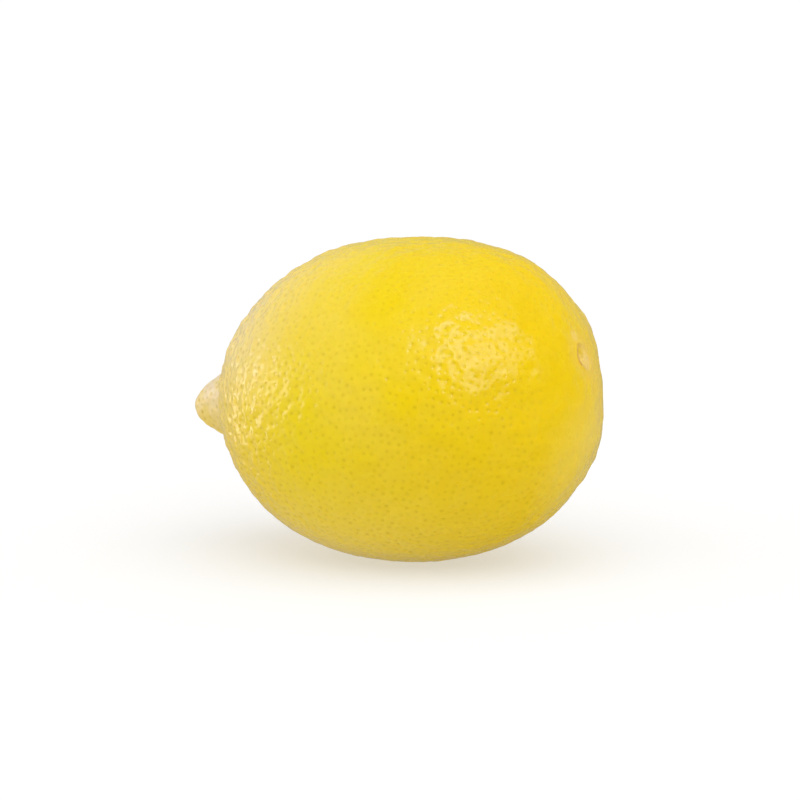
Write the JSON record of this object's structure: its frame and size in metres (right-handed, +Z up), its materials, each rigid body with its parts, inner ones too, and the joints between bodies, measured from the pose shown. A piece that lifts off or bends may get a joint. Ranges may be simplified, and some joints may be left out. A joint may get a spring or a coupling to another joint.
{
  "type": "lemon",
  "caption": "Whole ripe lemon lying on its side: pored yellow peel, pointed nipple at one end and a round stem scar at the other, on a small flat spot.",
  "frame": {"origin": "middle of the small flat spot that the fruit rests on, in its plane", "axes": "+X along the fruit in plan, from the nipple at the blossom end towards the stem scar; +Z up, away from the flat spot; +Y across the girth"},
  "size_m": [0.0825, 0.062, 0.0616],
  "materials": {
    "peel": "waxy, pored lemon peel, semi-gloss, paler and duller at the nipple and the stem scar"
  },
  "bodies": {
    "root": {"lemon": "peel"}
  },
  "joints": []
}
